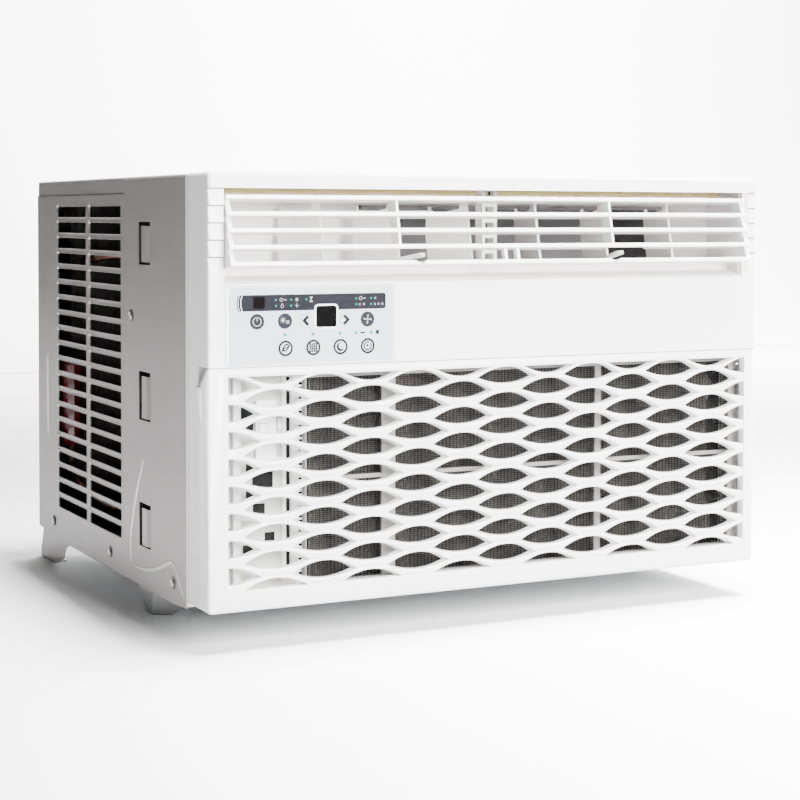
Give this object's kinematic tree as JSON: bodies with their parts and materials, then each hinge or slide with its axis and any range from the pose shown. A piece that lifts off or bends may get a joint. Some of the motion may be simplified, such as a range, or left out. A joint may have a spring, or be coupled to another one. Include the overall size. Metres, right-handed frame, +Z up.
{
  "type": "window air conditioner",
  "caption": "Window air conditioner: slotted steel cabinet on feet, wave-lattice intake front that hinges down, tilting louvres over swinging vanes, and a keypad at the left.",
  "frame": {"origin": "centre of the bounding box at the surface that the feet stand on", "axes": "+X to the right seen from the front, +Y towards the outdoor side, +Z up; the room side faces -Y"},
  "size_m": [0.6044, 0.5635, 0.4318],
  "materials": {
    "white_abs": "fine satin moulded ABS",
    "panel_film": "printed film, light blue-grey",
    "key_slate": "slate keys",
    "cabinet_paint": "semi-gloss grey-silver paint",
    "foot_paint": "dark grey coated steel",
    "galvanised": "galvanised sheet",
    "dark_window": "smoked window",
    "vane_white": "natural white plastic",
    "foam": "open-cell sealing foam",
    "filter_net": "woven net in a plastic frame",
    "board_green": "circuit board",
    "fin_aluminium": "plate fins",
    "copper": "drawn copper tube",
    "black_enamel": "gloss black enamel",
    "black_plastic": "glass-filled plastic",
    "grey_plastic": "flame-retardant plastic",
    "scroll_grey": "grey moulded scroll, unpainted",
    "rubber": "matt rubber",
    "red_enamel": "dark red gloss enamel"
  },
  "bodies": {
    "cabinet": {"front_panel": "white_abs", "air_filter": "filter_net", "outlet_frame": "white_abs", "outlet_seal": "foam", "control_insert": "white_abs", "control_overlay": "panel_film", "display_window": "dark_window", "remote_sensor_window": "dark_window", "control_board": "board_green", "cabinet_wrap": "cabinet_paint", "base_pan": "galvanised", "front_foot_left": "foot_paint", "front_foot_right": "foot_paint", "evaporator_coil": "fin_aluminium", "control_box": "grey_plastic", "run_capacitor": "galvanised", "cord_gland": "rubber", "blower_housing": "scroll_grey", "bulkhead": "galvanised", "fan_motor": "black_enamel", "motor_bracket": "galvanised", "fan_shroud": "black_plastic", "condenser_coil": "fin_aluminium", "compressor": "black_enamel", "compressor_grommet_1": "rubber", "compressor_grommet_2": "rubber", "compressor_grommet_3": "rubber", "liquid_receiver": "red_enamel", "discharge_tube": "copper", "suction_tube": "copper", "liquid_tube": "copper"},
    "grille": {"intake_grille": "white_abs"},
    "louvres": {"louvre_bank": "white_abs"},
    "vane_left_1_body": {"vane_left_1": "vane_white"},
    "vane_left_2_body": {"vane_left_2": "vane_white"},
    "vane_left_3_body": {"vane_left_3": "vane_white"},
    "vane_link_left_body": {"vane_link_left": "vane_white"},
    "vane_right_1_body": {"vane_right_1": "vane_white"},
    "vane_right_2_body": {"vane_right_2": "vane_white"},
    "vane_right_3_body": {"vane_right_3": "vane_white"},
    "vane_link_right_body": {"vane_link_right": "vane_white"},
    "rotor": {"motor_shaft": "galvanised", "blower_wheel": "black_plastic", "condenser_fan": "black_plastic"},
    "power_button_body": {"power_button": "key_slate"},
    "mode_button_body": {"mode_button": "key_slate"},
    "temp_down_button_body": {"temp_down_button": "panel_film"},
    "temp_up_button_body": {"temp_up_button": "panel_film"},
    "fan_speed_button_body": {"fan_speed_button": "key_slate"},
    "eco_button_body": {"eco_button": "panel_film"},
    "filter_button_body": {"filter_button": "panel_film"},
    "sleep_button_body": {"sleep_button": "panel_film"},
    "timer_button_body": {"timer_button": "panel_film"}
  },
  "joints": [
    {"name": "grille_hinge", "type": "hinge", "parent": "cabinet", "child": "grille", "pos_m": [0, -0.25522, 0.0435], "axis": [1, 0, 0], "range_deg": [0, 80]},
    {"name": "louvre_tilt", "type": "hinge", "parent": "cabinet", "child": "louvres", "pos_m": [0, -0.23722, 0.409], "axis": [1, 0, 0], "range_deg": [-3, 13.8]},
    {"name": "vane_left_2_swing", "type": "hinge", "parent": "cabinet", "child": "vane_left_2_body", "pos_m": [-0.0959, -0.23122, 0.3425], "axis": [0, 0.2164, 0.9763], "range_deg": [-66, 4]},
    {"name": "vane_left_1_swing", "type": "hinge", "parent": "cabinet", "child": "vane_left_1_body", "pos_m": [-0.175, -0.23122, 0.3425], "axis": [0, 0.2164, 0.9763], "range_deg": [-66, 4]},
    {"name": "vane_left_3_swing", "type": "hinge", "parent": "cabinet", "child": "vane_left_3_body", "pos_m": [-0.0168, -0.23122, 0.3425], "axis": [0, 0.2164, 0.9763], "range_deg": [-66, 4]},
    {"name": "vane_link_left_pivot", "type": "hinge", "parent": "vane_left_2_body", "child": "vane_link_left_body", "pos_m": [-0.11547, -0.186, 0.39598], "axis": [0, 0.2164, 0.9763], "range_deg": [-4, 66]},
    {"name": "vane_right_2_swing", "type": "hinge", "parent": "cabinet", "child": "vane_right_2_body", "pos_m": [0.1414, -0.23122, 0.3425], "axis": [0, 0.2164, 0.9763], "range_deg": [-31, 39]},
    {"name": "vane_right_1_swing", "type": "hinge", "parent": "cabinet", "child": "vane_right_1_body", "pos_m": [0.0623, -0.23122, 0.3425], "axis": [0, 0.2164, 0.9763], "range_deg": [-31, 39]},
    {"name": "vane_right_3_swing", "type": "hinge", "parent": "cabinet", "child": "vane_right_3_body", "pos_m": [0.2205, -0.23122, 0.3425], "axis": [0, 0.2164, 0.9763], "range_deg": [-31, 39]},
    {"name": "vane_link_right_pivot", "type": "hinge", "parent": "vane_right_2_body", "child": "vane_link_right_body", "pos_m": [0.14405, -0.18079, 0.39483], "axis": [0, 0.2164, 0.9763], "range_deg": [-39, 31]},
    {"name": "fan_spin", "type": "hinge", "parent": "cabinet", "child": "rotor", "pos_m": [0.07, -0.01722, 0.197], "axis": [0, 1, 0], "continuous": true},
    {"name": "power_button_press", "type": "slide", "parent": "cabinet", "child": "power_button_body", "axis": [0, 1, 0], "range_m": [0, 0.0007], "stiffness_N_per_m": 400, "springref_m": -0.0008},
    {"name": "mode_button_press", "type": "slide", "parent": "cabinet", "child": "mode_button_body", "axis": [0, 1, 0], "range_m": [0, 0.0007], "stiffness_N_per_m": 400, "springref_m": -0.0008},
    {"name": "temp_down_button_press", "type": "slide", "parent": "cabinet", "child": "temp_down_button_body", "axis": [0, 1, 0], "range_m": [0, 0.0007], "stiffness_N_per_m": 400, "springref_m": -0.0008},
    {"name": "temp_up_button_press", "type": "slide", "parent": "cabinet", "child": "temp_up_button_body", "axis": [0, 1, 0], "range_m": [0, 0.0007], "stiffness_N_per_m": 400, "springref_m": -0.0008},
    {"name": "fan_speed_button_press", "type": "slide", "parent": "cabinet", "child": "fan_speed_button_body", "axis": [0, 1, 0], "range_m": [0, 0.0007], "stiffness_N_per_m": 400, "springref_m": -0.0008},
    {"name": "eco_button_press", "type": "slide", "parent": "cabinet", "child": "eco_button_body", "axis": [0, 1, 0], "range_m": [0, 0.0007], "stiffness_N_per_m": 400, "springref_m": -0.0008},
    {"name": "filter_button_press", "type": "slide", "parent": "cabinet", "child": "filter_button_body", "axis": [0, 1, 0], "range_m": [0, 0.0007], "stiffness_N_per_m": 400, "springref_m": -0.0008},
    {"name": "sleep_button_press", "type": "slide", "parent": "cabinet", "child": "sleep_button_body", "axis": [0, 1, 0], "range_m": [0, 0.0007], "stiffness_N_per_m": 400, "springref_m": -0.0008},
    {"name": "timer_button_press", "type": "slide", "parent": "cabinet", "child": "timer_button_body", "axis": [0, 1, 0], "range_m": [0, 0.0007], "stiffness_N_per_m": 400, "springref_m": -0.0008}
  ],
  "couplings": [
    {"joint": "vane_left_1_swing", "follows": "vane_left_2_swing", "ratio": 1},
    {"joint": "vane_left_3_swing", "follows": "vane_left_2_swing", "ratio": 1},
    {"joint": "vane_link_left_pivot", "follows": "vane_left_2_swing", "ratio": -1},
    {"joint": "vane_right_1_swing", "follows": "vane_right_2_swing", "ratio": 1},
    {"joint": "vane_right_3_swing", "follows": "vane_right_2_swing", "ratio": 1},
    {"joint": "vane_link_right_pivot", "follows": "vane_right_2_swing", "ratio": -1}
  ]
}
